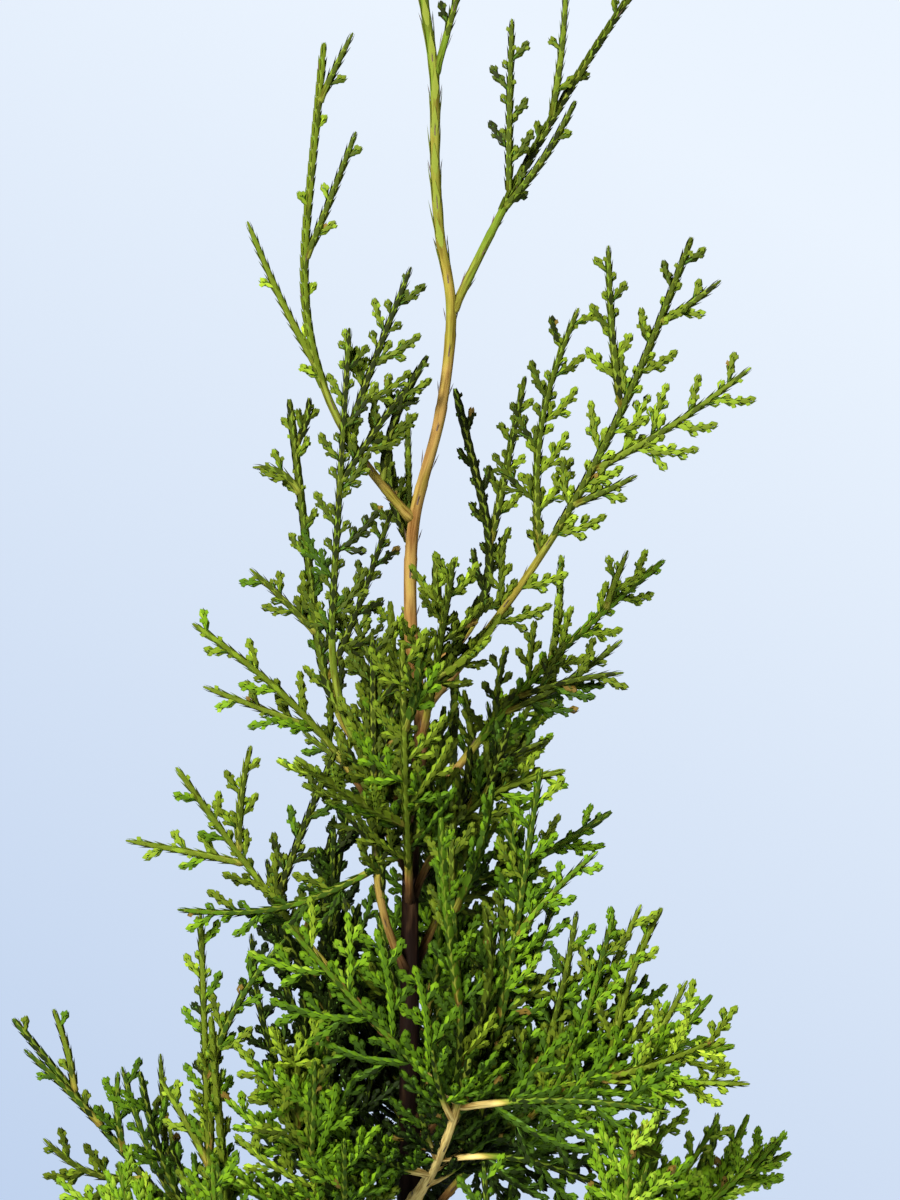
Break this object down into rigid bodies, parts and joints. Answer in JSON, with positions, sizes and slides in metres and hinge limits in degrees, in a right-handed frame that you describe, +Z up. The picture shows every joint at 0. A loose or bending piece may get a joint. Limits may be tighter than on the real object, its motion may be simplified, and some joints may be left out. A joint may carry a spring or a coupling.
{
  "type": "eastern arborvitae",
  "caption": "Young eastern arborvitae: a slim leaning leader with rising boughs and flat sprays of scale leaves, rooted at the flat cut under its trunk.",
  "frame": {"origin": "middle of the flat cut under the trunk, at ground level", "axes": "+Z up along the trunk, -Y the side that the picture shows, +X to the right in the picture"},
  "size_m": [0.1341, 0.1117, 0.3014],
  "materials": {
    "bark": "matt, finely fissured red-brown bark, tan and green on the leader",
    "bough_wood": "matt tan young wood",
    "foliage": "semi-matt overlapping scale leaves, yellow-green at the tips"
  },
  "bodies": {
    "root": {"bough_back_high": "bough_wood", "bough_back_left": "bough_wood", "bough_back_left_low": "bough_wood", "bough_back_low": "bough_wood", "bough_back_mid": "bough_wood", "bough_back_right": "bough_wood", "bough_back_right_low": "bough_wood", "bough_back_top": "bough_wood", "bough_far_left": "bough_wood", "bough_far_right": "bough_wood", "bough_fork_left": "bough_wood", "bough_front_fan": "bough_wood", "bough_front_left_low": "bough_wood", "bough_front_low": "bough_wood", "bough_front_upright": "bough_wood", "bough_left_back": "bough_wood", "bough_left_front": "bough_wood", "bough_left_mid": "bough_wood", "bough_left_reach": "bough_wood", "bough_left_spray": "bough_wood", "bough_left_upright": "bough_wood", "bough_right_arch": "bough_wood", "bough_right_mid": "bough_wood", "bough_right_upright": "bough_wood", "bough_right_wide": "bough_wood", "bough_tan_stem": "bough_wood", "bough_upper_right": "bough_wood", "foliage_back_high": "foliage", "foliage_back_left": "foliage", "foliage_back_left_low": "foliage", "foliage_back_low": "foliage", "foliage_back_mid": "foliage", "foliage_back_right": "foliage", "foliage_back_right_low": "foliage", "foliage_back_top": "foliage", "foliage_far_left": "foliage", "foliage_far_right": "foliage", "foliage_fork_left": "foliage", "foliage_front_fan": "foliage", "foliage_front_left_low": "foliage", "foliage_front_low": "foliage", "foliage_front_mid": "foliage", "foliage_front_top": "foliage", "foliage_front_upright": "foliage", "foliage_leader_fork": "foliage", "foliage_left_back": "foliage", "foliage_left_front": "foliage", "foliage_left_mid": "foliage", "foliage_left_reach": "foliage", "foliage_left_spray": "foliage", "foliage_left_upright": "foliage", "foliage_right_arch": "foliage", "foliage_right_low": "foliage", "foliage_right_mid": "foliage", "foliage_right_upright": "foliage", "foliage_right_wide": "foliage", "foliage_tan_stem": "foliage", "foliage_upper_right": "foliage", "trunk": "bark"}
  },
  "joints": []
}
